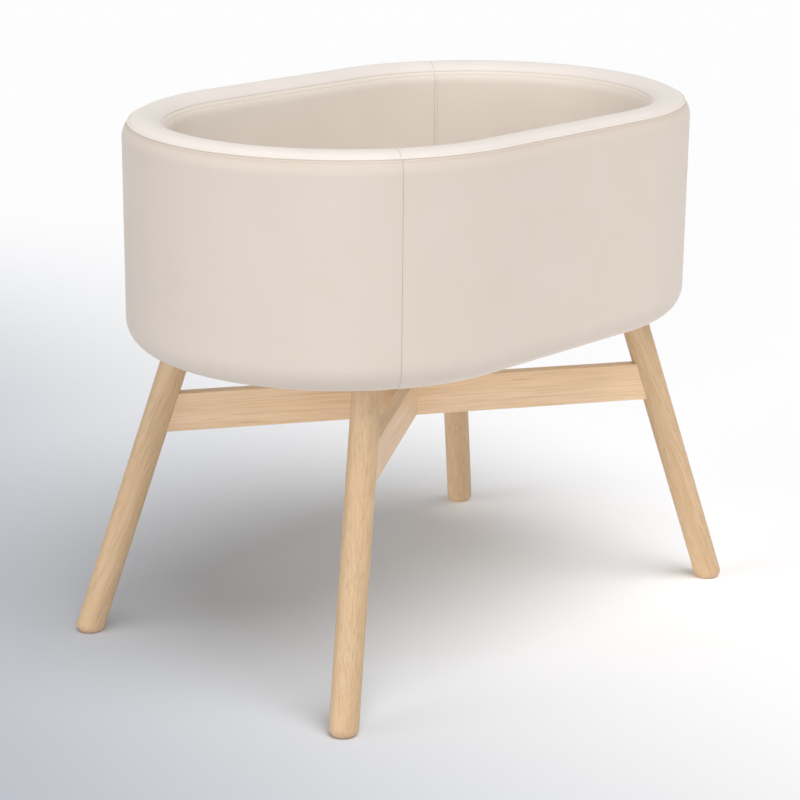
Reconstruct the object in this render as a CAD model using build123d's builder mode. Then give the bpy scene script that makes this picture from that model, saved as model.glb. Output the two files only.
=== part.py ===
from build123d import *

import os
from math import atan2, cos, degrees, hypot, radians, sin, sqrt, tan

# Upholstered bassinet on a fixed stand. Millimetres, +Z up, +X along the basket.
# The origin is on the floor under the middle of the basket. The front is the -Y side.

# Basket: a stadium in plan, with upright walls
BASKET_LENGTH = 850.0
BASKET_WIDTH = 567.0
RIM_HEIGHT = 720.0
UNDERSIDE_HEIGHT = 418.0
LOWER_EDGE_RADIUS = 34.0
SEAM_ANGLE = 59.5

# Wall, from the outside in
COVER = 2.0
OUTER_FOAM = 24.0
WALL_PLY = 10.0
INNER_FOAM = 20.0

# Rim: half round, with a piped seam on its outer side and a plain seam on its inner side
PIPING_ANGLE = 45.0
INNER_SEAM_ANGLE = 55.0
PIPING_DIAMETER = 3.0

# Floor of the basket
BASE_BOARD = 20.0
FLOOR_LINING = 1.2
TURN_UNDER = 50.0
DUST_COVER = 1.0
DUST_COVER_MARGIN = 4.0

# Stand: the leg tops sit under the basket's round ends, and each leg splays away from the middle
LEG_ANGLE = 53.4
LEG_INSET = 72.0
LEG_SPLAY = 18.5
LEG_DIAMETER = 38.0
FOOT_ROUND = 9.0
RAIL_BOTTOM = 281.0
RAIL_HEIGHT = 53.0
RAIL_THICKNESS = 18.0
RAIL_EASE = 1.5
TENON_HEIGHT = 36.0
TENON_THICKNESS = 10.0
TENON_PAST_AXIS = 2.0
JOINERY_FIT = 0.1

# Fasteners
BOLT_DIAMETER = 8.0
BOLT_HEAD_DIAMETER = 17.0
BOLT_HEAD = 4.0
BOLT_HEAD_SUNK = 2.4
BOLT_CLEARANCE = 0.5
BOLT_PAST_INSERT = 3.4
BOLT_WELL = 3.0
WASHER_DIAMETER = 22.0
WASHER = 1.6
WASHER_CLEARANCE = 1.0
INSERT_DIAMETER = 12.5
INSERT_LENGTH = 25.0
THREAD_FIT = 0.1
SCREW_DIAMETER = 4.0
SCREW_HEAD_DIAMETER = 8.0
SCREW_FIT = 0.1
WALL_SCREW_LENGTH = 50.0
WALL_SCREWS_PER_SIDE = 3
WALL_SCREWS_PER_END = 3
LAP_SCREW_COVER = 8.0

# Mattress: a pad of two sewn halves that lifts out
MATTRESS_GAP = 3.0
MATTRESS_SEAT = 0.3
MATTRESS_EDGE = 30.0
MATTRESS_CROWN = 8.0
MATTRESS_EDGE_ROUND = 9.0
MATTRESS_SEAM_DRAW = 3.0
MATTRESS_COVER = 1.6

# Plan of the basket
wall = COVER + OUTER_FOAM + WALL_PLY + INNER_FOAM + COVER
end_centre = (BASKET_LENGTH - BASKET_WIDTH) / 2
ply_outside = COVER + OUTER_FOAM
ply_middle = ply_outside + WALL_PLY / 2
ply_inside = ply_outside + WALL_PLY

# Heights, from the underside up
cover_bottom = UNDERSIDE_HEIGHT + DUST_COVER
board_bottom = cover_bottom + COVER
board_top = board_bottom + BASE_BOARD
roll_centre = cover_bottom + LOWER_EDGE_RADIUS
rim_radius = wall / 2
rim_centre = RIM_HEIGHT - rim_radius

# Mattress section
mattress_half_width = BASKET_WIDTH / 2 - wall - MATTRESS_GAP
mattress_bottom = board_top + FLOOR_LINING + MATTRESS_SEAT
mattress_seam = mattress_bottom + MATTRESS_EDGE / 2
mattress_shoulder = mattress_bottom + MATTRESS_EDGE
mattress_top = mattress_shoulder + MATTRESS_CROWN

# Stand: every leg and rail lies in one of two upright planes through the middle
leg_ring = BASKET_WIDTH / 2 - LEG_INSET
leg_top_x = end_centre + leg_ring * cos(radians(LEG_ANGLE))
leg_top_y = leg_ring * sin(radians(LEG_ANGLE))
stand_angle = degrees(atan2(leg_top_y, leg_top_x))
foot_spread = hypot(leg_top_x, leg_top_y) + UNDERSIDE_HEIGHT * tan(radians(LEG_SPLAY))
rail_middle = RAIL_BOTTOM + RAIL_HEIGHT / 2

# Fasteners
screw_radius = SCREW_DIAMETER / 2
lap_screw_length = RAIL_HEIGHT - LAP_SCREW_COVER
bolt_recess = WASHER + BOLT_HEAD + BOLT_HEAD_SUNK
bolt_seat = board_top - bolt_recess + WASHER
bolt_length = bolt_seat - (UNDERSIDE_HEIGHT - INSERT_LENGTH - BOLT_PAST_INSERT)

SIDES = {"front": -1, "rear": 1}
ENDS = {"left": -1, "right": 1}
STANDING = (Align.CENTER, Align.CENTER, Align.MIN)
HANGING = (Align.CENTER, Align.CENTER, Align.MAX)


def at(inset):
    """Distance from a round end's centre line to a line this far inside the outer face."""
    return BASKET_WIDTH / 2 - inset


def roll_height(inset):
    """Height of the inside of the cover's lower roll, this far inside the outer face."""
    return roll_centre - sqrt((LOWER_EDGE_RADIUS - COVER) ** 2 - (LOWER_EDGE_RADIUS - inset) ** 2)


def on_rim(angle, reach):
    """Point in section this far from the rim's centre, this many degrees outwards from its top."""
    return (at(rim_radius) + reach * sin(radians(angle)), rim_centre + reach * cos(radians(angle)))


def leg_spread(height):
    """Distance from the middle of the stand to a leg's axis at a height."""
    return foot_spread - height * tan(radians(LEG_SPLAY))


def on_diagonal(side, end, spread, height):
    """Point over one of the stand's two diagonals."""
    angle = radians(stand_angle)
    return (end * spread * cos(angle), side * spread * sin(angle), height)


bolt_spread = leg_spread(UNDERSIDE_HEIGHT - INSERT_LENGTH / 2)
wall_screw_seat = roll_height(ply_middle - SCREW_HEAD_DIAMETER / 2)


def bolt_points(height):
    """The four leg bolts' places."""
    return [
        on_diagonal(side, end, bolt_spread, height)
        for side in SIDES.values()
        for end in ENDS.values()
    ]


def wall_screw_points(height):
    """Places along the middle of the plywood band: along both straight sides and round both ends."""
    radius = at(ply_middle)
    pitch = 2 * end_centre / WALL_SCREWS_PER_SIDE
    turn = 180 / WALL_SCREWS_PER_END
    points = []
    for sign in (-1, 1):
        for count in range(WALL_SCREWS_PER_SIDE):
            points.append(((count + 0.5) * pitch - end_centre, sign * radius, height))
        for count in range(WALL_SCREWS_PER_END):
            angle = radians((count + 0.5) * turn - 90)
            points.append((sign * (end_centre + radius * cos(angle)), radius * sin(angle), height))
    return points


def end_axis(end):
    """Upright axis of a round end, turning clockwise seen from above."""
    return Axis((end * end_centre, 0, 0), (0, 0, -1))


def section_plane(end, angle):
    """Upright plane through a round end's axis; its x runs outwards, this angle from the end's middle."""
    outwards = (end * cos(radians(angle)), end * sin(radians(angle)), 0)
    return Plane(
        origin=(end * end_centre, 0, 0),
        x_dir=outwards,
        z_dir=(outwards[1], -outwards[0], 0),
    )


def foot_plane(side, end):
    """Plane square to a leg at the middle of its foot; its z runs up the leg."""
    foot = Vector(on_diagonal(side, end, foot_spread, 0))
    upper = Vector(on_diagonal(side, end, leg_spread(UNDERSIDE_HEIGHT), UNDERSIDE_HEIGHT))
    return Plane(origin=foot, z_dir=upper - foot)


def rail_plane(turn):
    """Level plane through the middle of a rail; its x runs along the rail, on the +Y or -Y side."""
    angle = radians(turn * stand_angle)
    return Plane(origin=(0, 0, rail_middle), x_dir=(cos(angle), sin(angle), 0), z_dir=(0, 0, 1))


# Bands that follow the basket's plan, drawn once in section


def closed_band(draw_section):
    """All the way round: each end is turned through a half circle and carries on along a side."""
    for end in ENDS.values():
        with BuildSketch(section_plane(end, 90)) as section:
            draw_section()
        extrude(section.sketch, amount=-2 * end_centre)
        revolve(section.sketch, axis=end_axis(end), revolution_arc=180)


def side_band(draw_section, side):
    """Along one long side, from seam to seam, with a short turn at both ends."""
    turn = 90 - SEAM_ANGLE
    with BuildSketch(section_plane(side, 90)) as straight:
        draw_section()
    with BuildSketch(section_plane(-side, -SEAM_ANGLE)) as seam:
        draw_section()
    extrude(straight.sketch, amount=-2 * end_centre)
    revolve(straight.sketch, axis=end_axis(side), revolution_arc=turn)
    revolve(seam.sketch, axis=end_axis(-side), revolution_arc=turn)


def end_band(draw_section, end):
    """Round one end, from seam to seam."""
    with BuildSketch(section_plane(end, SEAM_ANGLE)) as section:
        draw_section()
    revolve(section.sketch, axis=end_axis(end), revolution_arc=2 * SEAM_ANGLE)


# Sections of the wall


def keep_between(inset_from, inset_to, bottom, top):
    """Cuts the section back to a stretch of the wall's thickness and of its height."""
    with Locations((at((inset_from + inset_to) / 2), (bottom + top) / 2)):
        Rectangle(inset_to - inset_from, top - bottom, mode=Mode.INTERSECT)


def fill_between(inset_from, inset_to, bottom, top):
    """Adds a plain rectangle of the wall's thickness and height."""
    with Locations((at((inset_from + inset_to) / 2), (bottom + top) / 2)):
        Rectangle(inset_to - inset_from, top - bottom)


def upholstered_wall():
    """Outside of the covered wall: rolled lower edge, upright faces and half-round rim."""
    with BuildLine() as outline:
        Line((at(wall), cover_bottom), (at(LOWER_EDGE_RADIUS), cover_bottom))
        CenterArc((at(LOWER_EDGE_RADIUS), roll_centre), LOWER_EDGE_RADIUS, 270, 90)
        Line((at(0), roll_centre), (at(0), rim_centre))
        CenterArc((at(rim_radius), rim_centre), rim_radius, 0, 180)
        Line((at(wall), rim_centre), (at(wall), cover_bottom))
    make_face(outline.edges())


def cover_layer():
    """The cover alone, all round the wall's section."""
    upholstered_wall()
    offset(amount=-COVER, mode=Mode.SUBTRACT)


def padding_layer():
    """Everything under the cover."""
    upholstered_wall()
    offset(amount=-COVER, mode=Mode.REPLACE)


def between_seams(mode):
    """Sector of the rim from its inner seam over the top to its outer seam, both square to the cover."""
    reach = 2 * rim_radius
    Polygon(
        on_rim(0, 0),
        on_rim(PIPING_ANGLE, reach),
        on_rim(0, reach),
        on_rim(-INNER_SEAM_ANGLE, reach),
        align=None,
        mode=mode,
    )


def piping_round(mode=Mode.ADD):
    """The piping, half sunk in the rim's outer seam, or the groove that seats it."""
    with Locations(on_rim(PIPING_ANGLE, rim_radius)):
        Circle(PIPING_DIAMETER / 2, mode=mode)


def outer_panel_section():
    cover_layer()
    between_seams(Mode.SUBTRACT)
    keep_between(-COVER, LOWER_EDGE_RADIUS, UNDERSIDE_HEIGHT, RIM_HEIGHT)
    piping_round(Mode.SUBTRACT)
    fill_between(LOWER_EDGE_RADIUS, LOWER_EDGE_RADIUS + TURN_UNDER, cover_bottom, board_bottom)


def rim_strip_section():
    cover_layer()
    between_seams(Mode.INTERSECT)
    piping_round(Mode.SUBTRACT)


def lining_section():
    cover_layer()
    between_seams(Mode.SUBTRACT)
    keep_between(rim_radius, wall + COVER, board_top, RIM_HEIGHT)


def outer_foam_section():
    padding_layer()
    keep_between(0, ply_outside, UNDERSIDE_HEIGHT, rim_centre)


def rim_foam_section():
    padding_layer()
    keep_between(0, wall, rim_centre, RIM_HEIGHT)


def wall_shell_section():
    fill_between(ply_outside, ply_inside, board_top, rim_centre)


def inner_foam_section():
    fill_between(ply_inside, wall - COVER, board_top, rim_centre)


def base_board_section():
    """Half of the board, from the middle out, with its lower edge rounded to the cover's roll."""
    with BuildLine() as outline:
        bottom = Line((0, board_bottom), (at(LOWER_EDGE_RADIUS), board_bottom))
        edge_top = (at(ply_outside), roll_height(ply_outside))
        edge = RadiusArc(bottom @ 1, edge_top, -(LOWER_EDGE_RADIUS - COVER))
        Polyline(edge @ 1, (at(ply_outside), board_top), (0, board_top), (0, board_bottom))
    make_face(outline.edges())


# Sections of the mattress


def mattress_outline():
    """Whole width of the pad: flat below, crowned above, drawn in at the seam round its side."""
    flat = mattress_half_width - MATTRESS_EDGE_ROUND
    pinch = mattress_half_width - MATTRESS_SEAM_DRAW
    with BuildLine() as outline:
        base = Line((0, mattress_bottom), (flat, mattress_bottom))
        lower = ThreePointArc(
            base @ 1,
            (mattress_half_width, (mattress_bottom + mattress_seam) / 2),
            (pinch, mattress_seam),
        )
        upper = ThreePointArc(
            lower @ 1,
            (mattress_half_width, (mattress_seam + mattress_shoulder) / 2),
            (flat, mattress_shoulder),
        )
        TangentArc((0, mattress_top), upper @ 1, tangent=(1, 0))
        Line((0, mattress_top), (0, mattress_bottom))
    make_face(outline.edges())
    mirror(about=Plane.YZ)


def keep_half(bottom, top):
    """Cuts the mattress section back to the half that bands are made from, between two heights."""
    with Locations((mattress_half_width / 2, (bottom + top) / 2)):
        Rectangle(mattress_half_width, top - bottom, mode=Mode.INTERSECT)


def mattress_core_section():
    mattress_outline()
    offset(amount=-MATTRESS_COVER, mode=Mode.REPLACE)
    keep_half(mattress_bottom, mattress_top)


def mattress_cover_top_section():
    mattress_outline()
    offset(amount=-MATTRESS_COVER, mode=Mode.SUBTRACT)
    keep_half(mattress_seam, mattress_top)


def mattress_cover_base_section():
    mattress_outline()
    offset(amount=-MATTRESS_COVER, mode=Mode.SUBTRACT)
    keep_half(mattress_bottom, mattress_seam)


# Fastener forms


def wood_screw(points, length):
    """Countersunk screws driven upwards."""
    head_radius = SCREW_HEAD_DIAMETER / 2
    with Locations(*points):
        Cone(head_radius, screw_radius, head_radius - screw_radius, align=STANDING)
        Cylinder(screw_radius, length, align=STANDING)


def wood_screw_hole(points, length, well=0.0):
    """Holes for such screws, with a well below each sunk head."""
    head_radius = SCREW_HEAD_DIAMETER / 2 + SCREW_FIT
    shank_radius = screw_radius + SCREW_FIT
    with Locations(*points):
        Cone(
            head_radius,
            shank_radius,
            head_radius - shank_radius,
            align=STANDING,
            mode=Mode.SUBTRACT,
        )
        Cylinder(shank_radius, length + SCREW_FIT, align=STANDING, mode=Mode.SUBTRACT)
        if well > 0:
            Cylinder(head_radius, well, align=HANGING, mode=Mode.SUBTRACT)


def save(piece, name):
    """Labels a finished piece and writes its STEP file."""
    piece.part.label = name
    export_step(piece.part, f"parts/{name}.step")


os.makedirs("parts", exist_ok=True)

# Legs: round, splayed, with a rounded foot, a level top, a bolt insert's hole and a blind mortise
for side_name, side in SIDES.items():
    for end_name, end in ENDS.items():
        with BuildPart() as leg:
            with BuildSketch(foot_plane(side, end)):
                Circle(LEG_DIAMETER / 2)
            extrude(amount=RIM_HEIGHT, both=True)
            split(bisect_by=Plane.XY.offset(UNDERSIDE_HEIGHT), keep=Keep.BOTTOM)
            split(bisect_by=Plane.XY, keep=Keep.TOP)
            fillet(leg.faces().sort_by(Axis.Z)[0].edges(), FOOT_ROUND)
            with Locations(on_diagonal(side, end, bolt_spread, UNDERSIDE_HEIGHT)):
                CounterBoreHole(
                    BOLT_DIAMETER / 2 + BOLT_CLEARANCE,
                    INSERT_DIAMETER / 2,
                    INSERT_LENGTH,
                    INSERT_LENGTH + BOLT_PAST_INSERT + BOLT_WELL,
                )
            mortise_end = leg_spread(rail_middle) + TENON_PAST_AXIS + JOINERY_FIT
            with BuildSketch(rail_plane(side * end).offset(-TENON_HEIGHT / 2 - JOINERY_FIT)):
                Rectangle(2 * mortise_end, TENON_THICKNESS + 2 * JOINERY_FIT)
            extrude(amount=TENON_HEIGHT + 2 * JOINERY_FIT, mode=Mode.SUBTRACT)
        save(leg, f"leg_{side_name}_{end_name}")

# Rails: one runs along each diagonal, coped and tenoned into its two legs, half lapped at the middle
for rail_name, turn, lap in (("cross_rail_over", 1, -1), ("cross_rail_under", -1, 1)):
    with BuildPart() as rail:
        along = rail_plane(turn)
        across = rail_plane(-turn)
        with BuildSketch(along.offset(-RAIL_HEIGHT / 2)):
            Rectangle(2 * leg_spread(rail_middle), RAIL_THICKNESS)
        extrude(amount=RAIL_HEIGHT)
        lengthwise = Axis((0, 0, rail_middle), along.x_dir)
        fillet(rail.edges().filter_by(lengthwise), RAIL_EASE)
        for end in ENDS.values():
            with BuildSketch(foot_plane(turn * end, end)):
                Circle(LEG_DIAMETER / 2)
            extrude(amount=RIM_HEIGHT, both=True, mode=Mode.SUBTRACT)
        with BuildSketch(along.offset(-TENON_HEIGHT / 2)):
            Rectangle(2 * (leg_spread(rail_middle) + TENON_PAST_AXIS), TENON_THICKNESS)
        extrude(amount=TENON_HEIGHT)
        with BuildSketch(across):
            Rectangle(2 * leg_spread(rail_middle), RAIL_THICKNESS + 2 * JOINERY_FIT)
        extrude(amount=lap * RAIL_HEIGHT, mode=Mode.SUBTRACT)
        wood_screw_hole([(0, 0, RAIL_BOTTOM)], lap_screw_length)
    save(rail, rail_name)

with BuildPart() as cross_lap_screw:
    wood_screw([(0, 0, RAIL_BOTTOM)], lap_screw_length)
save(cross_lap_screw, "cross_lap_screw")

# Leg fasteners, from the basket's floor down into the leg tops
with BuildPart() as leg_inserts:
    with Locations(*bolt_points(UNDERSIDE_HEIGHT)):
        Cylinder(INSERT_DIAMETER / 2, INSERT_LENGTH, align=HANGING)
        Hole(BOLT_DIAMETER / 2 + THREAD_FIT, INSERT_LENGTH)
save(leg_inserts, "leg_inserts")

with BuildPart() as leg_washers:
    with Locations(*bolt_points(bolt_seat)):
        Cylinder(WASHER_DIAMETER / 2, WASHER, align=HANGING)
        Hole(BOLT_DIAMETER / 2 + BOLT_CLEARANCE, WASHER)
save(leg_washers, "leg_washers")

with BuildPart() as leg_bolts:
    with Locations(*bolt_points(bolt_seat)):
        Cylinder(BOLT_HEAD_DIAMETER / 2, BOLT_HEAD, align=STANDING)
        Cylinder(BOLT_DIAMETER / 2, bolt_length, align=HANGING)
save(leg_bolts, "leg_bolts")

# Structure of the basket
with BuildPart() as base_board:
    closed_band(base_board_section)
    with Locations(*bolt_points(board_top)):
        CounterBoreHole(
            BOLT_DIAMETER / 2 + BOLT_CLEARANCE,
            WASHER_DIAMETER / 2 + WASHER_CLEARANCE,
            bolt_recess,
        )
    wood_screw_hole(wall_screw_points(wall_screw_seat), WALL_SCREW_LENGTH, wall_screw_seat - board_bottom)
save(base_board, "base_board")

with BuildPart() as wall_shell:
    closed_band(wall_shell_section)
    wood_screw_hole(wall_screw_points(wall_screw_seat), WALL_SCREW_LENGTH, wall_screw_seat - board_bottom)
save(wall_shell, "wall_shell")

with BuildPart() as wall_screws:
    wood_screw(wall_screw_points(wall_screw_seat), WALL_SCREW_LENGTH)
save(wall_screws, "wall_screws")

# Padding of the basket
with BuildPart() as outer_foam:
    closed_band(outer_foam_section)
save(outer_foam, "outer_foam")

with BuildPart() as inner_foam:
    closed_band(inner_foam_section)
save(inner_foam, "inner_foam")

with BuildPart() as rim_foam:
    closed_band(rim_foam_section)
save(rim_foam, "rim_foam")

# Covers of the basket, sewn at four upright seams
around = [(name, side_band, side) for name, side in SIDES.items()]
around += [(name, end_band, end) for name, end in ENDS.items()]
for name, band, direction in around:
    with BuildPart() as outer_panel:
        band(outer_panel_section, direction)
        with Locations(*bolt_points(board_bottom)):
            Hole(BOLT_DIAMETER / 2 + BOLT_CLEARANCE, COVER)
    save(outer_panel, f"outer_panel_{name}")
    with BuildPart() as rim_strip:
        band(rim_strip_section, direction)
    save(rim_strip, f"rim_strip_{name}")
    with BuildPart() as lining:
        band(lining_section, direction)
    save(lining, f"lining_{name}")

with BuildPart() as piping:
    closed_band(piping_round)
save(piping, "piping")

with BuildPart() as floor_lining:
    with BuildSketch(Plane.XY.offset(board_top)):
        SlotCenterToCenter(2 * end_centre, 2 * at(wall))
    extrude(amount=FLOOR_LINING)
save(floor_lining, "floor_lining")

with BuildPart() as dust_cover:
    with BuildSketch(Plane.XY.offset(UNDERSIDE_HEIGHT)):
        SlotCenterToCenter(2 * end_centre, 2 * at(LOWER_EDGE_RADIUS + DUST_COVER_MARGIN))
    extrude(amount=DUST_COVER)
    with Locations(*bolt_points(cover_bottom)):
        Hole(BOLT_DIAMETER / 2 + BOLT_CLEARANCE, DUST_COVER)
save(dust_cover, "dust_cover")

# Mattress
with BuildPart() as mattress_core:
    closed_band(mattress_core_section)
save(mattress_core, "mattress_core")

with BuildPart() as mattress_cover_top:
    closed_band(mattress_cover_top_section)
save(mattress_cover_top, "mattress_cover_top")

with BuildPart() as mattress_cover_base:
    closed_band(mattress_cover_base_section)
save(mattress_cover_base, "mattress_cover_base")
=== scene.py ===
"""Looks of a stadium-shaped upholstered bassinet on a beech stand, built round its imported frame."""

import math

import bpy
import numpy as np
from mathutils import Matrix, Vector


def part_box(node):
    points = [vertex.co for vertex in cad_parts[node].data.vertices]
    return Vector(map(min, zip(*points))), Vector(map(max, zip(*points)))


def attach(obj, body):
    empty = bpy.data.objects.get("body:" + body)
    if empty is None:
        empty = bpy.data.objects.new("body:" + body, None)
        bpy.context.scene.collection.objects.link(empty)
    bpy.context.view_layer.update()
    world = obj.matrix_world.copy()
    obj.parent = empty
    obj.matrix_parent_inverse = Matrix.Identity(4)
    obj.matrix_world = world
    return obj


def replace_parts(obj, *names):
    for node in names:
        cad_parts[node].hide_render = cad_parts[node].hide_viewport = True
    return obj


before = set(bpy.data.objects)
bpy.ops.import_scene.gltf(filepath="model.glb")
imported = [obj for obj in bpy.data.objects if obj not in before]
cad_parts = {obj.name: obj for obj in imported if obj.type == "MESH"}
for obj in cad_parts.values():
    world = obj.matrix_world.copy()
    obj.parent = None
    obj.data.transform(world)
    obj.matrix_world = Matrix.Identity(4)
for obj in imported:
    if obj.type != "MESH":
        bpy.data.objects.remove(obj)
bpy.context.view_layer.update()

# Bodies
BASKET = "bassinet"
PAD = "mattress"

# Plan and section of the basket, from the frame, in metres
OUTER_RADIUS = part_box("outer_panel_rear")[1].y
END_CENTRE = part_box("outer_panel_right")[1].x - OUTER_RADIUS
WALL = OUTER_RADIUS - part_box("floor_lining")[1].y
RIM_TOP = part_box("rim_strip_front")[1].z
COVER_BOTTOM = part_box("outer_panel_front")[0].z
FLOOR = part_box("floor_lining")[0].z
FOAM_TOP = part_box("inner_foam")[1].z
PIPING_LOW, PIPING_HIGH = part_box("piping")
PIPING_RADIUS = (PIPING_HIGH.z - PIPING_LOW.z) / 2
PIPING_CENTRE = (OUTER_RADIUS - PIPING_HIGH.y + PIPING_RADIUS, PIPING_HIGH.z - PIPING_RADIUS)
RIM_RADIUS = WALL / 2
RIM_CENTRE = (RIM_RADIUS, RIM_TOP - RIM_RADIUS)
PIPING_ANGLE = 135
INNER_SEAM_ANGLE = 35
LOWER_ROLL = 0.034
TURN_UNDER = 0.050
SEAM_ANGLE = math.radians(59.5)
PLY = 0.010
PLY_OUTSIDE = OUTER_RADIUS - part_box("wall_shell")[1].y
PLY_INSIDE = PLY_OUTSIDE + PLY

# Sewing, in metres
LEATHER = 0.0014
COVER_ROOM = 0.0022
SEAM_ROLL = 0.00035
SEAM_PULL = 0.0003
SEAM_PULL_REACH = 0.008
PIPING_PULL = 0.0005
PIPING_PULL_REACH = 0.0025
STITCH_LINE = 0.0055
STITCH_PITCH = 0.0048
STITCH_LENGTH = 0.0036
STITCH_DIP = 0.00030
STITCH_DIP_REACH = 0.0012
THREAD_RADIUS = 0.00032

# Painted shade: a darker leather colour down in a seam and under the piping, where shade falls: weight
# at the edge, and reach in metres
SEAM_PAINTED_SHADE = (0.12, 0.0010)
PIPING_PAINTED_SHADE = (0.34, 0.010)

# A stitch: rise of its middle and drop of its ends in thread radii, and share of thickness lost there
STITCH_RISE = 0.7
STITCH_DROP = 1.7
STITCH_TAPER = 0.35
STITCH_RINGS = 5
STITCH_SIDES = 6

# Meshing: rings of a flat form stop one part in CORE_PARTS of its radius short of its middle line
GRID_STEP = 0.0045
GRID_GRADING = 0.92
GRID_LEAST = 12
ARC_POINTS = 33
SHEET_RINGS = 12
CORE_PARTS = 40
TINY = 1e-9


# Materials


class Look:
    """A Principled material, with one short call for each node that shapes it."""

    MIX_INPUTS = (0, 6, 7)
    MIX_OUTPUT = 2

    def __init__(self, name, **sockets):
        self.material = bpy.data.materials.new(name)
        self.material.use_nodes = True
        self.tree = self.material.node_tree
        self.shader = self.tree.nodes["Principled BSDF"]
        for socket, value in sockets.items():
            self.set(socket.replace("_", " ").title().replace("Ior", "IOR"), value)

    def set(self, socket, value):
        self.fill(self.shader.inputs[socket], value)

    def fill(self, socket, value):
        if isinstance(value, bpy.types.NodeSocket):
            self.tree.links.new(value, socket)
        else:
            socket.default_value = value

    def node(self, kind, inputs, out=0, **settings):
        made = self.tree.nodes.new("ShaderNode" + kind)
        for name, value in settings.items():
            setattr(made, name, value)
        for name, value in inputs.items():
            self.fill(made.inputs[name], value)
        return made.outputs[out]

    def place(self, scale=(1, 1, 1), rotation=(0, 0, 0), shift=(0, 0, 0)):
        """Coordinates in the row frame, in metres, scaled along the turned axes."""
        here = self.node("TexCoord", {}, out="Object")
        turned = self.node("Mapping", {"Vector": here, "Rotation": rotation, "Location": shift})
        return self.node("Mapping", {"Vector": turned, "Scale": scale})

    def noise(self, where, scale, detail=2.0, roughness=0.5):
        inputs = {"Vector": where, "Scale": scale, "Detail": detail, "Roughness": roughness}
        return self.node("TexNoise", inputs)

    def cells(self, where, scale, feature="F1"):
        return self.node("TexVoronoi", {"Vector": where, "Scale": scale}, feature=feature)

    def ramp(self, value, between, to=(0.0, 1.0)):
        """Carries a range of values over to another."""
        inputs = {"Value": value, "From Min": between[0], "From Max": between[1]}
        return self.node("MapRange", {**inputs, "To Min": to[0], "To Max": to[1]})

    def mix(self, factor, first, second):
        made = self.tree.nodes.new("ShaderNodeMix")
        made.data_type = "RGBA"
        for index, value in zip(self.MIX_INPUTS, (factor, first, second)):
            self.fill(made.inputs[index], value)
        return made.outputs[self.MIX_OUTPUT]

    def attribute(self, name):
        return self.node("Attribute", {}, out="Fac", attribute_name=name)

    def bump(self, height, distance, strength, under=None):
        inputs = {"Height": height, "Distance": distance, "Strength": strength}
        if under is not None:
            inputs["Normal"] = under
        return self.node("Bump", inputs)


def tone(red, green, blue):
    """A colour for a shader socket from its 0 to 255 screen values."""
    values = [v / 255 for v in (red, green, blue)]
    linear = [v / 12.92 if v <= 0.04045 else ((v + 0.055) / 1.055) ** 2.4 for v in values]
    return (*linear, 1.0)


# Colour of the painted shade down in the seams and under the piping
PAINTED_SHADE_TONE = tone(170, 150, 132)

# Scale at which a wave texture repeats once in a metre
WAVE_SCALE = math.pi / 10


def leather(name, colour, shade):
    """Smooth coated leather: fine pebble, a little mottle, and painted shade down in the seams and under
    the piping.
    """
    look = Look(name, specular_ior_level=0.36, sheen_weight=0.04, sheen_roughness=0.45)
    where = look.place()
    mottle = look.noise(where, scale=14.0, detail=4.0)
    worn = look.mix(look.ramp(mottle, between=(0.3, 0.7)), colour, shade)
    # Painted shade: the seam attribute mixes in a darker colour down in the seams and under the piping
    look.set("Base Color", look.mix(look.attribute("seam"), worn, PAINTED_SHADE_TONE))
    rubbed = look.noise(where, scale=180.0, detail=3.0)
    look.set("Roughness", look.ramp(rubbed, between=(0.25, 0.75), to=(0.46, 0.56)))
    pores = look.noise(where, scale=2600.0)
    pebble = look.cells(where, scale=1050.0, feature="SMOOTH_F1")
    grain = look.bump(pores, distance=0.00004, strength=0.35)
    look.set("Normal", look.bump(pebble, distance=0.00010, strength=0.45, under=grain))
    return look.material


def thread(name, colour, shade):
    """Spun sewing thread with a fine twist."""
    look = Look(name, roughness=0.62, specular_ior_level=0.35, sheen_weight=0.2)
    where = look.place(rotation=(0.6, 0.5, 0.4))
    twist = look.node(
        "TexWave", {"Vector": where, "Scale": 700.0, "Distortion": 1.5, "Detail": 1.0}
    )
    look.set("Base Color", look.mix(look.ramp(twist, between=(0.2, 0.8)), colour, shade))
    look.set("Normal", look.bump(twist, distance=0.00008, strength=0.6))
    return look.material


def beech(name, along, shift, tones):
    """Pale straight-grained beech under a matt lacquer: body, late wood, streak and fleck tones."""
    look = Look(name, specular_ior_level=0.38)
    turn = Vector(along).normalized().rotation_difference(Vector((0, 0, 1))).to_euler()

    def fibres(across, along_grain, detail, roughness=0.5):
        """Noise drawn out along the grain, by its features in a metre each way."""
        where = look.place((across, across, along_grain), turn, shift)
        return look.noise(where, scale=1.0, detail=detail, roughness=roughness)

    rings = fibres(across=60, along_grain=2.2, detail=3.0, roughness=0.55)
    streaks = fibres(across=420, along_grain=6, detail=3.0, roughness=0.6)
    pores = fibres(across=1500, along_grain=40, detail=1.0)
    flecks = fibres(across=800, along_grain=16, detail=1.0)
    pale, late, streak, fleck = tones
    body = look.mix(look.ramp(rings, between=(0.30, 0.72)), pale, late)
    body = look.mix(look.ramp(streaks, between=(0.42, 0.74), to=(0.0, 0.65)), body, streak)
    body = look.mix(look.ramp(flecks, between=(0.52, 0.72), to=(0.0, 0.38)), body, fleck)
    look.set("Base Color", body)
    look.set("Roughness", look.ramp(streaks, between=(0.3, 0.8), to=(0.44, 0.56)))
    grain = look.bump(streaks, distance=0.00012, strength=0.35)
    look.set("Normal", look.bump(pores, distance=0.00005, strength=0.35, under=grain))
    return look.material


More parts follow.
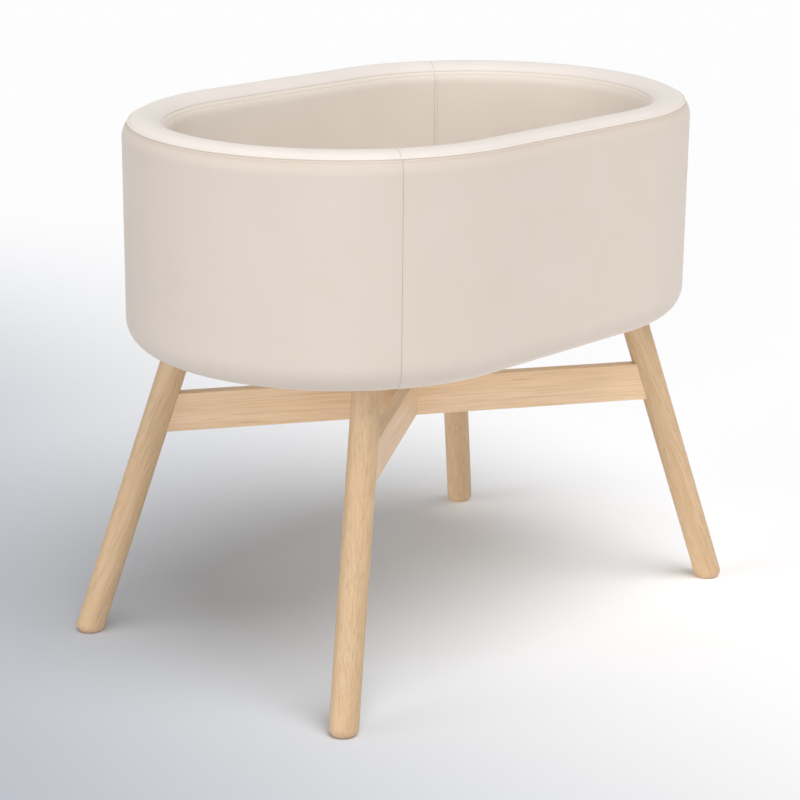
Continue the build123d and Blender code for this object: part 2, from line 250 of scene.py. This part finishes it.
def plywood(name):
    """Bare birch plywood: thin veneers across its thickness, streaked along the grain."""
    look = Look(name, roughness=0.7)
    pale, dark, streak = tone(226, 200, 164), tone(196, 160, 118), tone(206, 174, 134)
    veneers = look.node(
        "TexWave", {"Vector": look.place(), "Scale": 110.0, "Distortion": 0.4}, bands_direction="Z"
    )
    streaks = look.noise(look.place(scale=(9, 240, 240)), scale=1.0, detail=3.0)
    layered = look.mix(veneers, pale, dark)
    streaked = look.ramp(streaks, between=(0.45, 0.8), to=(0.0, 0.5))
    look.set("Base Color", look.mix(streaked, layered, streak))
    look.set("Normal", look.bump(streaks, distance=0.0001, strength=0.4))
    return look.material


def foam(name):
    """Cut polyurethane foam with open pores."""
    look = Look(name, roughness=0.95, specular_ior_level=0.2)
    dark, pale = tone(222, 214, 190), tone(240, 235, 216)
    pores = look.cells(look.place(), scale=900.0)
    look.set("Base Color", look.mix(look.ramp(pores, between=(0.1, 0.6)), dark, pale))
    look.set("Normal", look.bump(pores, distance=0.0004, strength=0.6))
    return look.material


def steel(name):
    """Zinc plate, slightly mottled."""
    look = Look(name, metallic=1.0)
    dark, pale = tone(186, 188, 188), tone(214, 214, 210)
    mottle = look.noise(look.place(), scale=420.0, detail=3.0)
    look.set("Base Color", look.mix(mottle, dark, pale))
    look.set("Roughness", look.ramp(mottle, between=(0.3, 0.7), to=(0.28, 0.42)))
    return look.material


def weave(look, pitch):
    """Height of a plain weave with threads this far apart in plan."""
    across, along = [
        look.node(
            "TexWave",
            {"Vector": look.place(), "Scale": WAVE_SCALE / pitch, "Distortion": 0.6, "Detail": 1.0},
            bands_direction=direction,
        )
        for direction in ("X", "Y")
    ]
    return look.node("Math", {0: across, 1: along}, operation="MULTIPLY")


def cotton(name):
    """Off-white plain-woven cotton."""
    look = Look(name, roughness=0.85, specular_ior_level=0.2, sheen_weight=0.25, sheen_roughness=0.5)
    dark, pale, worn = tone(226, 220, 210), tone(245, 241, 234), tone(232, 226, 216)
    threads = weave(look, pitch=0.0011)
    fuzz = look.noise(look.place(), scale=900.0, detail=3.0)
    body = look.mix(look.ramp(threads, between=(0.1, 0.8)), dark, pale)
    fuzzy = look.ramp(fuzz, between=(0.5, 0.8), to=(0.0, 0.3))
    look.set("Base Color", look.mix(fuzzy, body, worn))
    nap = look.bump(fuzz, distance=0.0001, strength=0.4)
    look.set("Normal", look.bump(threads, distance=0.00025, strength=0.6, under=nap))
    return look.material


def felted(name):
    """Spunbonded sheet: matted fibres with a regular pattern of bonding points."""
    look = Look(name, roughness=0.9, specular_ior_level=0.2)
    dark, pale, pressed = tone(214, 208, 197), tone(230, 225, 215), tone(192, 185, 172)
    points = weave(look, pitch=0.0024)
    fibres = look.noise(look.place(), scale=1300.0, detail=4.0, roughness=0.7)
    body = look.mix(look.ramp(fibres, between=(0.3, 0.7)), dark, pale)
    bonded = look.ramp(points, between=(0.55, 0.8), to=(0.0, 0.35))
    look.set("Base Color", look.mix(bonded, body, pressed))
    matted = look.bump(fibres, distance=0.0001, strength=0.6)
    look.set("Normal", look.bump(points, distance=-0.0002, strength=0.7, under=matted))
    return look.material


UPHOLSTERY = leather("upholstery", tone(211, 199, 188), tone(209, 197, 185))
# The rim strips are the panels' leather painted lighter, for the top light that falls on them
RIM_LIT_LEATHER = leather("rim_leather_painted_light", tone(227, 219, 212), tone(224, 216, 209))
LINING = leather("lining", tone(232, 222, 212), tone(229, 219, 209))
# The piping is the leather painted lighter still, a painted highlight that makes it show as a bright
# line
PIPING_LIT_LEATHER = leather("piping", tone(229, 221, 213), tone(227, 218, 209))
THREAD = thread("thread", tone(208, 196, 183), tone(188, 175, 161))
FOAM = foam("foam")
COTTON = cotton("cotton")
FELTED = felted("felted")
STEEL = steel("steel")
PLYWOOD = plywood("plywood")
# Legs and rails are the same beech: the rails' tones are painted lighter against the shade the basket
# casts on them, and the legs' a little darker
LEG_TONES = (tone(205, 176, 142), tone(197, 166, 130), tone(183, 150, 112), tone(158, 122, 85))
RAIL_LIT_TONES = (tone(231, 202, 170), tone(223, 191, 155), tone(208, 174, 135), tone(185, 145, 105))


# Meshes


def quads(rows, columns, wrap_rows=False, wrap_columns=False):
    """Corners of the faces between neighbouring rows and columns of a grid of points."""
    row, column = np.meshgrid(
        np.arange(rows if wrap_rows else rows - 1),
        np.arange(columns if wrap_columns else columns - 1),
        indexing="ij",
    )
    next_row = (row + 1) % rows * columns
    next_column = (column + 1) % columns
    row = row * columns
    corners = (row + column, row + next_column, next_row + next_column, next_row + column)
    return np.stack(corners, -1).reshape(-1, 4).tolist()


def add_piece(name, points, faces, material, body=BASKET):
    """A smooth mesh piece that rides on a body."""
    mesh = bpy.data.meshes.new(name)
    mesh.from_pydata(np.reshape(points, (-1, 3)).tolist(), [], faces)
    mesh.shade_smooth()
    mesh.materials.append(material)
    piece = bpy.data.objects.new(name, mesh)
    bpy.context.scene.collection.objects.link(piece)
    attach(piece, body)
    return piece


def set_attribute(piece, name, values):
    """Gives each point of a piece a value that its material can read."""
    made = piece.data.attributes.new(name, "FLOAT", "POINT")
    made.data.foreach_set("value", np.ravel(values).astype(np.float32))


def thicken(piece, thickness):
    """Gives a sheet its thickness, inwards from the face that shows."""
    solid = piece.modifiers.new("thickness", "SOLIDIFY")
    solid.thickness = thickness
    solid.offset = -1


def graded(length):
    """Places along a length, close together towards both ends."""
    share = np.linspace(0, 1, max(GRID_LEAST, round(length / GRID_STEP)) + 1)
    return length * (share - GRID_GRADING * np.sin(2 * np.pi * share) / (2 * np.pi))


def arc(centre, radius, start, end):
    """Points on an arc between two angles in degrees."""
    angles = np.radians(np.linspace(start, end, ARC_POINTS))
    return np.stack([centre[0] + radius * np.cos(angles), centre[1] + radius * np.sin(angles)], 1)


class Outline:
    """A line in section, as insets from the outer face and heights, read by length along it."""

    def __init__(self, *stretches):
        points = np.concatenate([np.asarray(s, float) for s in stretches])
        steps = np.linalg.norm(np.diff(points, axis=0), axis=1)
        kept = np.concatenate([[True], steps > TINY])
        self.points = points[kept]
        self.lengths = np.concatenate([[0], np.cumsum(steps[steps > TINY])])
        self.length = self.lengths[-1]
        tangents = np.gradient(self.points, self.lengths, axis=0)
        tangents /= np.linalg.norm(tangents, axis=1, keepdims=True)
        self.normals = np.stack([-tangents[:, 1], tangents[:, 0]], 1)

    def read(self, values, lengths):
        return np.stack([np.interp(lengths, self.lengths, values[:, k]) for k in range(2)], -1)

    def at(self, lengths):
        return self.read(self.points, lengths)

    def normal(self, lengths):
        found = self.read(self.normals, lengths)
        return found / np.linalg.norm(found, axis=-1, keepdims=True)


# The wall's outline, from under the basket up the outside, over the rim and down the inside
OUTSIDE = Outline(
    [(LOWER_ROLL + TURN_UNDER, COVER_BOTTOM)],
    arc((LOWER_ROLL, COVER_BOTTOM + LOWER_ROLL), LOWER_ROLL, 270, 180),
    arc(RIM_CENTRE, RIM_RADIUS, 180, PIPING_ANGLE),
)
RIM = Outline(arc(RIM_CENTRE, RIM_RADIUS, PIPING_ANGLE, INNER_SEAM_ANGLE))
INSIDE = Outline(arc(RIM_CENTRE, RIM_RADIUS, INNER_SEAM_ANGLE, 0), [(WALL, FLOOR)])

# The basket's plan, by length along its outer face from the middle of the front, towards the right
BEND = math.pi * OUTER_RADIUS
PLAN_MARKS = np.cumsum([0, END_CENTRE, BEND, 2 * END_CENTRE, BEND, END_CENTRE])
PLAN_CENTRES = np.array([0, END_CENTRE, END_CENTRE, -END_CENTRE, -END_CENTRE, 0])
PLAN_ANGLES = np.radians([-90, -90, 90, 90, 270, 270])
PLAN_LENGTH = PLAN_MARKS[-1]
ALL_ROUND = np.linspace(0, PLAN_LENGTH, round(PLAN_LENGTH / GRID_STEP), endpoint=False)
SIDE_HALF = END_CENTRE + OUTER_RADIUS * (math.pi / 2 - SEAM_ANGLE)
END_SPAN = 2 * OUTER_RADIUS * SEAM_ANGLE
SPANS = {
    "front": (-SIDE_HALF, SIDE_HALF),
    "right": (SIDE_HALF, SIDE_HALF + END_SPAN),
    "rear": (SIDE_HALF + END_SPAN, 3 * SIDE_HALF + END_SPAN),
    "left": (3 * SIDE_HALF + END_SPAN, 3 * SIDE_HALF + 2 * END_SPAN),
}


def plan(along):
    """Centres and angles of the plan at lengths along it."""
    along = np.mod(along, PLAN_LENGTH)
    return np.interp(along, PLAN_MARKS, PLAN_CENTRES), np.interp(along, PLAN_MARKS, PLAN_ANGLES)


def swept(along, inset, height):
    """Points of the row frame from lengths along the plan, insets and heights."""
    centre, angle = plan(along)
    radius = OUTER_RADIUS - inset
    parts = (centre + radius * np.cos(angle), radius * np.sin(angle), height)
    return np.stack(np.broadcast_arrays(*parts), -1)


def outward(along, inset_part, height_part):
    """Directions of the row frame from lengths along the plan and directions in section."""
    _, angle = plan(along)
    parts = (-inset_part * np.cos(angle), -inset_part * np.sin(angle), height_part)
    return np.stack(np.broadcast_arrays(*parts), -1)


def carried_round(outline):
    """Points of a line in section, carried all the way round the plan."""
    outline = np.asarray(outline)
    return swept(ALL_ROUND[None, :], outline[:, 0, None], outline[:, 1, None])


def tuck(distance):
    """Depth of an edge that turns down into a seam through a quarter circle."""
    inside = np.clip(SEAM_ROLL - distance, 0, SEAM_ROLL)
    return SEAM_ROLL - np.sqrt(SEAM_ROLL**2 - inside**2)


def fade(distance, reach):
    """Falls from 1 at an edge to almost nothing a few reaches away."""
    return np.exp(-distance / reach)


def dip(distance, reach):
    """A rounded dip of depth 1 about a line."""
    return np.exp(-((distance / reach) ** 2))


class Cover:
    """One sewn piece of the cover: an outline in section, carried along a stretch of the plan."""

    def __init__(self, outline, span, relief):
        self.outline = outline
        self.start, self.end = span
        self.relief = relief

    def seam_distance(self, along):
        return np.minimum(along - self.start, self.end - along)

    def at(self, along, across):
        """Points and directions where lengths along the plan meet lengths along the outline."""
        section = self.outline.at(across)
        normal = self.outline.normal(across)
        seam = self.seam_distance(along)
        lift = self.relief(across, self.outline.length)
        lift = lift - tuck(seam) - SEAM_PULL * fade(seam, SEAM_PULL_REACH)
        raised = section + lift[..., None] * normal
        points = swept(along, raised[..., 0], raised[..., 1])
        return points, outward(along, normal[..., 0], normal[..., 1])

    def piece(self, name, material, slot, node, top=SEAM_PAINTED_SHADE):
        """The cover's mesh, in the place of its CAD node, with painted shade in its seams and its own
        painted shade along its top edge.
        """
        along = self.start + graded(self.end - self.start)
        across = graded(self.outline.length)
        along, across = np.meshgrid(along, across)
        points, _ = self.at(along, across)
        piece = add_piece(name, points, quads(*along.shape), material)
        # Painted shade: how much darker leather colour goes near the seams and along the top edge
        weight, reach = SEAM_PAINTED_SHADE
        painted_seam_shade = weight * fade(np.minimum(self.seam_distance(along), across), reach)
        weight, reach = top
        painted_top_shade = weight * fade(self.outline.length - across, reach)
        set_attribute(piece, "seam", np.maximum(painted_seam_shade, painted_top_shade))
        thicken(piece, LEATHER)
        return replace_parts(piece, node)


def panel_relief(across, length):
    """The outer panel draws in under the piping and dips along its topstitching."""
    below = length - across
    drawn = PIPING_PULL * fade(below, PIPING_PULL_REACH)
    return -drawn - STITCH_DIP * dip(below - STITCH_LINE, STITCH_DIP_REACH)


def strip_relief(across, length):
    """The rim strip turns down beside the piping and into the inner seam."""
    return -PIPING_PULL * fade(across, PIPING_PULL_REACH) - tuck(length - across)


def lining_relief(across, length):
    """The lining turns down into the inner seam and dips along its topstitching."""
    return -tuck(across) - STITCH_DIP * dip(across - STITCH_LINE, STITCH_DIP_REACH)


def stitch_tubes(points, normals):
    """Thread of a row of stitches along a line on a surface: each is a short arched tube."""
    rings = np.linspace(-0.5, 0.5, STITCH_RINGS)
    steps = np.linalg.norm(np.diff(points, axis=0), axis=1)
    lengths = np.concatenate([[0], np.cumsum(steps)])
    count = int(lengths[-1] // STITCH_PITCH)
    middles = (np.arange(count) + 0.5) * lengths[-1] / count
    places = middles[:, None] + rings * STITCH_LENGTH

    def read(values, where):
        return np.stack([np.interp(where, lengths, values[:, k]) for k in range(3)], -1)

    tangent = read(points, places + THREAD_RADIUS) - read(points, places - THREAD_RADIUS)
    tangent /= np.linalg.norm(tangent, axis=-1, keepdims=True)
    normal = read(normals, places)
    sideways = np.cross(normal, tangent)
    to_ends = (2 * rings) ** 4
    rise = THREAD_RADIUS * (STITCH_RISE - STITCH_DROP * to_ends)
    thick = THREAD_RADIUS * (1 - STITCH_TAPER * to_ends)
    around = np.linspace(0, 2 * np.pi, STITCH_SIDES, endpoint=False)[:, None]
    middle = read(points, places) + normal * rise[:, None]
    ring = np.cos(around) * sideways[:, :, None, :] + np.sin(around) * normal[:, :, None, :]
    tubes = middle[:, :, None, :] + ring * thick[:, None, None]
    one = np.array(quads(STITCH_RINGS, STITCH_SIDES, wrap_columns=True))
    size = STITCH_RINGS * STITCH_SIDES
    faces = []
    for first in range(0, count * size, size):
        faces += (one + first).tolist()
        faces.append(list(range(first + STITCH_SIDES - 1, first - 1, -1)))
        faces.append(list(range(first + size - STITCH_SIDES, first + size)))
    return tubes.reshape(-1, 3), faces


def stitch_piece(name, rows):
    """All the rows of one line of stitching, as one piece."""
    points, faces, total = [], [], 0
    for row_points, row_normals in rows:
        tubes, found = stitch_tubes(row_points, row_normals)
        faces += [[corner + total for corner in face] for face in found]
        points.append(tubes)
        total += len(tubes)
    return add_piece(name, np.concatenate(points), faces, THREAD)


def dress_wall():
    """Outer panels, rim strips and linings, with their topstitching."""
    outer_rows, inner_rows, upright_rows = [], [], []
    for name, span in SPANS.items():
        panel = Cover(OUTSIDE, span, panel_relief)
        strip = Cover(RIM, span, strip_relief)
        lining = Cover(INSIDE, span, lining_relief)
        # The outer panels get painted shade under the piping
        panel.piece(f"panel_{name}", UPHOLSTERY, "upholstery", f"outer_panel_{name}", PIPING_PAINTED_SHADE)
        strip.piece(f"rim_{name}", RIM_LIT_LEATHER, "upholstery", f"rim_strip_{name}")
        lining.piece(f"inside_{name}", LINING, "lining", f"lining_{name}")
        along = np.arange(span[0] + SEAM_ROLL, span[1] - SEAM_ROLL, STITCH_PITCH / 2)
        outer_rows.append(panel.at(along, np.full_like(along, OUTSIDE.length - STITCH_LINE)))
        inner_rows.append(lining.at(along, np.full_like(along, STITCH_LINE)))
        across = np.arange(STITCH_LINE, INSIDE.length, STITCH_PITCH / 2)
        upright_rows.append(lining.at(np.full_like(across, span[1] - STITCH_LINE), across))
    stitch_piece("topstitch_outside", outer_rows)
    stitch_piece("topstitch_inside", inner_rows)
    stitch_piece("topstitch_upright", upright_rows)


def ring_piece(name, outline, material, node):
    """A closed section carried all the way round the plan."""
    points = carried_round(outline)
    piece = add_piece(name, points, quads(*points.shape[:2], True, True), material)
    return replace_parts(piece, node)


def pad_wall():
    """Piping in the rim's outer seam, and the foam under the covers."""
    cord = arc(PIPING_CENTRE, PIPING_RADIUS, 360, 0)[:-1:2]
    piping = ring_piece("piping_cord", cord, PIPING_LIT_LEATHER, "piping")
    set_attribute(piping, "seam", np.zeros(len(piping.data.vertices)))

    skins = [o.points - COVER_ROOM * o.normals for o in (OUTSIDE, RIM, INSIDE)]
    outside = skins[0][(skins[0][:, 0] < PLY_OUTSIDE) & (skins[0][:, 1] < FOAM_TOP)]
    outer = [(PLY_OUTSIDE, outside[0, 1]), *outside, (outside[-1, 0], FOAM_TOP), (PLY_OUTSIDE, FOAM_TOP)]
    inner_face = WALL - COVER_ROOM
    inner = [(PLY_INSIDE, FLOOR), (PLY_INSIDE, FOAM_TOP), (inner_face, FOAM_TOP), (inner_face, FLOOR)]
    rim = np.concatenate(skins)
    rim = rim[rim[:, 1] > FOAM_TOP]
    for name, outline in (("outer_foam", outer), ("inner_foam", inner), ("rim_foam", rim)):
        layer = ring_piece(f"{name}_layer", outline, FOAM, name)


# Flat sheets


def sheet_piece(name, node, material):
    """A flat sheet in the place of its CAD node."""
    low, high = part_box(node)
    insets = np.linspace(OUTER_RADIUS - high.y, OUTER_RADIUS - high.y / CORE_PARTS, SHEET_RINGS + 1)
    points = carried_round([(inset, high.z) for inset in insets])
    rows, columns = points.shape[:2]
    faces = quads(rows, columns, wrap_columns=True)
    faces.append([(rows - 1) * columns + k for k in range(columns)])
    piece = add_piece(name, points, faces, material)
    thicken(piece, high.z - low.z)
    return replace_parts(piece, node)


def lay_sheets():
    """The lining on the base board and the dust cover under it."""
    sheet_piece("floor_sheet", "floor_lining", LINING)
    sheet_piece("dust_sheet", "dust_cover", FELTED)


# Mattress

PAD_LOW, PAD_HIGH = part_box("mattress_cover_base")
PAD_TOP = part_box("mattress_cover_top")[1].z
PAD_SEAM = PAD_HIGH.z
PAD_SHOULDER = PAD_LOW.z + 2 * (PAD_SEAM - PAD_LOW.z)
PAD_INSET = OUTER_RADIUS - PAD_HIGH.y
PAD_ROUND = 0.009
PAD_SLACK = 0.0025
PAD_CROWN_POINTS = 40
PAD_VOXEL = 0.005
PAD_PRESSURE = 4.0
PAD_GROWTH = 0.025
PAD_FRAMES = 20
PAD_SWELL = 0.006
PAD_ROOM = 0.0015
PAD_DRAW = 0.0035
PAD_DRAW_REACH = 0.0030
PAD_STITCH = 0.0055


def pad_outline():
    """Half of the pad's section, a little slack, from the middle of its underside round to its top's."""
    half = PAD_INSET + PAD_SLACK
    middle = OUTER_RADIUS - PAD_HIGH.y / CORE_PARTS
    crown_top = PAD_TOP - PAD_SLACK
    shoulder = PAD_SHOULDER - PAD_SLACK
    lower_corner = (half + PAD_ROUND, PAD_LOW.z + PAD_ROUND)
    corner = (half + PAD_ROUND, shoulder - PAD_ROUND)
    share = np.linspace(0, 1, PAD_CROWN_POINTS)
    crown_insets = corner[0] + (middle - corner[0]) * share
    crown_heights = shoulder + (crown_top - shoulder) * np.sin(np.pi / 2 * share)
    return np.concatenate(
        [
            [(middle, PAD_LOW.z)],
            arc(lower_corner, PAD_ROUND, 270, 180),
            arc(corner, PAD_ROUND, 180, 90),
            np.stack([crown_insets, crown_heights], 1)[1:],
        ]
    )


def bake(piece):
    """Makes what a piece's modifiers give its own mesh."""
    graph = bpy.context.evaluated_depsgraph_get()
    made = bpy.data.meshes.new_from_object(piece.evaluated_get(graph), depsgraph=graph)
    piece.modifiers.clear()
    piece.data = made


def read_points(piece):
    """A piece's points, one to a row."""
    points = np.empty(3 * len(piece.data.vertices))
    piece.data.vertices.foreach_get("co", points)
    return points.reshape(-1, 3)


def write_points(piece, points):
    """Moves a piece's points."""
    piece.data.vertices.foreach_set("co", np.ravel(points))
    piece.data.update()


def plan_radius(points):
    """Distance in plan from the line between the centres of the round ends, and the way outwards."""
    away = points[:, :2].copy()
    away[:, 0] -= np.clip(away[:, 0], -END_CENTRE, END_CENTRE)
    radius = np.linalg.norm(away, axis=1)
    return radius, away / np.maximum(radius, TINY)[:, None]


def swell(pad):
    """Lets the pad's cover fill out in a short cloth run, held by its seam and by what it lies on."""
    even = pad.modifiers.new("even", "REMESH")
    even.mode = "VOXEL"
    even.voxel_size = PAD_VOXEL
    bake(pad)
    start = read_points(pad)
    radius, _ = plan_radius(start)
    painted_seam_shade = (np.abs(start[:, 2] - PAD_SEAM) < PAD_VOXEL / 2) & (radius > PAD_HIGH.y - 2 * PAD_VOXEL)
    lying = start[:, 2] < PAD_LOW.z + PAD_VOXEL / 2
    held = pad.vertex_groups.new(name="held")
    held.add(np.flatnonzero(painted_seam_shade | lying).tolist(), 1.0, "REPLACE")
    cloth = pad.modifiers.new("cloth", "CLOTH")
    cloth.settings.vertex_group_mass = held.name
    cloth.settings.use_pressure = True
    cloth.settings.uniform_pressure_force = PAD_PRESSURE
    cloth.settings.shrink_min = -PAD_GROWTH
    cloth.settings.effector_weights.gravity = 0
    for count in range(1, PAD_FRAMES + 1):
        bpy.context.scene.frame_set(count)
    bake(pad)
    bpy.context.scene.frame_set(1)
    moved = read_points(pad) - start
    far = np.linalg.norm(moved, axis=1, keepdims=True)
    write_points(pad, start + moved * np.minimum(1, PAD_SWELL / np.maximum(far, TINY)))
    pad.vertex_groups.clear()
    finer = pad.modifiers.new("finer", "SUBSURF")
    finer.levels = 1
    bake(pad)


def draw_seam(pad):
    """Draws the pad in along the seam round its side, and keeps it in its place in the basket."""
    points = read_points(pad)
    radius, away = plan_radius(points)
    reach = np.minimum(radius, PAD_HIGH.y + PAD_ROOM)
    on_side = np.clip((radius - PAD_HIGH.y + 3 * PAD_ROUND) / PAD_ROUND, 0, 1)
    reach -= PAD_DRAW * on_side * dip(points[:, 2] - PAD_SEAM, PAD_DRAW_REACH)
    points[:, :2] += away * (reach - radius)[:, None]
    points[:, 2] = np.maximum(points[:, 2], PAD_LOW.z)
    write_points(pad, points)


def stitch_pad(pad):
    """A row of stitches on the side of the pad, just above its seam."""
    along = np.arange(0, PLAN_LENGTH, STITCH_PITCH / 2)
    outside = swept(along, PAD_INSET - PAD_ROUND, PAD_SEAM + PAD_STITCH)
    inwards = outward(along, 1.0, 0.0)
    found = [pad.ray_cast(p, d) for p, d in zip(outside.tolist(), inwards.tolist())]
    points = np.array([place for _, place, _, _ in found])
    normals = np.array([normal for _, _, normal, _ in found])
    tubes, faces = stitch_tubes(points, normals)
    add_piece("mattress_stitching", tubes, faces, THREAD, PAD)


def make_mattress():
    """The pad, swollen in its cover, with its seam and stitches."""
    points = carried_round(pad_outline())
    rows, columns = points.shape[:2]
    faces = quads(rows, columns, wrap_columns=True)
    faces.append(list(range(columns - 1, -1, -1)))
    faces.append([(rows - 1) * columns + k for k in range(columns)])
    pad = add_piece("mattress_pad", points, faces, COTTON, PAD)
    swell(pad)
    draw_seam(pad)
    pad.data.shade_smooth()
    stitch_pad(pad)
    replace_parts(pad, "mattress_core", "mattress_cover_top", "mattress_cover_base")


# Stand and hidden parts

# Where each piece of beech is cut from the wood, in metres, so that no two show the same grain
CUT_STEP = 0.37
LEG_CUT = (0.21, 0.4)
RAIL_CUT = (0.11, 0.2)


def paint(node, material):
    """Gives a CAD node its material."""
    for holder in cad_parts[node].material_slots:
        holder.material = material


def dress_stand():
    """Each leg and rail has its own piece of beech, with the grain along it."""
    cut = 0
    for side in ("front", "rear"):
        for end in ("left", "right"):
            cut += 1
            name = f"leg_{side}_{end}"
            low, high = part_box(name)
            lean_x = (high.x - low.x) * (-1 if end == "right" else 1)
            lean_y = (high.y - low.y) * (-1 if side == "rear" else 1)
            along = (lean_x, lean_y, high.z - low.z)
            paint(name, beech(f"beech_{name}", along, (CUT_STEP * cut, *LEG_CUT), LEG_TONES))
    for name, turn in (("cross_rail_over", 1), ("cross_rail_under", -1)):
        cut += 1
        low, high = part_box(name)
        along = (high.x - low.x, turn * (high.y - low.y), 0)
        paint(name, beech(f"beech_{name}", along, (CUT_STEP * cut, *RAIL_CUT), RAIL_LIT_TONES))


def dress_hidden():
    """Plywood and steel that the covers hide."""
    for node in ("base_board", "wall_shell"):
        paint(node, PLYWOOD)
    for node in ("leg_inserts", "leg_washers", "leg_bolts", "wall_screws", "cross_lap_screw"):
        paint(node, STEEL)


# Stage

VIEW_PLACE = (-2.3038, -2.1072, 1.2453)
VIEW_AZIMUTH = math.radians(-47.26)
VIEW_ELEVATION = math.radians(16.84)
VIEW_ROLL = math.radians(0.60)
VIEW_LENS = 105.59
VIEW_DEPTH = 200

# The world's light, and the brightness at which it shows
WORLD_LEVEL = 0.245
BACKGROUND_LEVEL = 0.98

# Lamps: azimuth and elevation in degrees, level, and width in degrees
LAMPS = {
    "top": (-12, 66, 0.695, 45),
    "front": (-47, 6, 0.305, 40),
    "side": (-110, 8, 0.385, 40),
    "fill": (25, 6, 0.06, 40),
    "bounce": (0, -89, 0.34, 90),
}

# Floor: painted shade, darker towards the left and front where less light would fall, in two fades in
# plan, each with its direction in degrees and where it starts and ends in metres
FLOOR_SIZE = 60.0
FLOOR_PAINTED_SHADE = tone(184, 189, 197)
FLOOR_PALE = tone(254, 254, 255)
FLOOR_FADES = ((-24.4, -0.906, 0.634), (42.7, 0.9, 2.8))


def toward(azimuth, elevation):
    """Unit vector to a direction: azimuth 0 is the front, 90 the right."""
    level = math.cos(elevation)
    return Vector((math.sin(azimuth) * level, -math.cos(azimuth) * level, math.sin(elevation)))


def add_camera():
    """The view of the photo."""
    back = toward(VIEW_AZIMUTH, VIEW_ELEVATION)
    right = Vector((0, 0, 1)).cross(back).normalized()
    up = back.cross(right)
    turned = Matrix((right, up, back)).transposed() @ Matrix.Rotation(VIEW_ROLL, 3, "Z")
    data = bpy.data.cameras.new("camera")
    data.lens = VIEW_LENS
    data.clip_end = VIEW_DEPTH
    camera = bpy.data.objects.new("camera", data)
    camera.matrix_world = Matrix.Translation(VIEW_PLACE) @ turned.to_4x4()
    bpy.context.scene.collection.objects.link(camera)
    bpy.context.scene.camera = camera


def add_lamp(name, azimuth, elevation, level, spread):
    """A distant soft lamp: at level 1 it shows a colour that faces it as written."""
    data = bpy.data.lights.new(name, "SUN")
    data.energy = level * math.pi
    data.angle = math.radians(spread)
    lamp = bpy.data.objects.new(name, data)
    back = toward(math.radians(azimuth), math.radians(elevation))
    lamp.rotation_mode = "QUATERNION"
    lamp.rotation_quaternion = (-back).to_track_quat("-Z", "Y")
    bpy.context.scene.collection.objects.link(lamp)


def add_floor():
    """A floor that takes the shadow, with painted shade darker towards the left, and lets the bounce
    lamp through.
    """
    half = FLOOR_SIZE / 2
    corners = [(-half, -half, 0), (half, -half, 0), (half, half, 0), (-half, half, 0)]
    mesh = bpy.data.meshes.new("floor")
    mesh.from_pydata(corners, [], [(0, 1, 2, 3)])
    floor = bpy.data.objects.new("floor", mesh)
    bpy.context.scene.collection.objects.link(floor)
    look = Look("floor", roughness=0.9, specular_ior_level=0.1)
    colour = FLOOR_PAINTED_SHADE
    for degrees, start, end in FLOOR_FADES:
        turn = math.radians(degrees)
        across = look.node(
            "VectorMath",
            {0: look.place(), 1: (math.cos(turn), math.sin(turn), 0)},
            out="Value",
            operation="DOT_PRODUCT",
        )
        share = look.node(
            "MapRange",
            {"Value": across, "From Min": start, "From Max": end},
            interpolation_type="SMOOTHSTEP",
        )
        colour = look.mix(share, colour, FLOOR_PALE)
    look.set("Base Color", colour)
    mesh.materials.append(look.material)
    floor.visible_shadow = False


def add_light():
    """The lamps, and a world that shows brighter than the light it gives."""
    world = bpy.data.worlds.new("world")
    bpy.context.scene.world = world
    world.use_nodes = True
    tree = world.node_tree
    background = tree.nodes["Background"]
    background.inputs["Color"].default_value = (1, 1, 1, 1)
    path = tree.nodes.new("ShaderNodeLightPath")
    seen = tree.nodes.new("ShaderNodeMath")
    seen.operation = "MAXIMUM"
    level = tree.nodes.new("ShaderNodeMapRange")
    level.inputs["To Min"].default_value = WORLD_LEVEL
    level.inputs["To Max"].default_value = BACKGROUND_LEVEL
    tree.links.new(path.outputs["Is Camera Ray"], seen.inputs[0])
    tree.links.new(path.outputs["Is Glossy Ray"], seen.inputs[1])
    tree.links.new(seen.outputs[0], level.inputs["Value"])
    tree.links.new(level.outputs[0], background.inputs["Strength"])
    for name, settings in LAMPS.items():
        add_lamp(name, *settings)


dress_wall()
pad_wall()
lay_sheets()
make_mattress()
dress_stand()
dress_hidden()
add_camera()
add_floor()
add_light()

view_settings = bpy.context.scene.view_settings
view_settings.view_transform = "Standard"
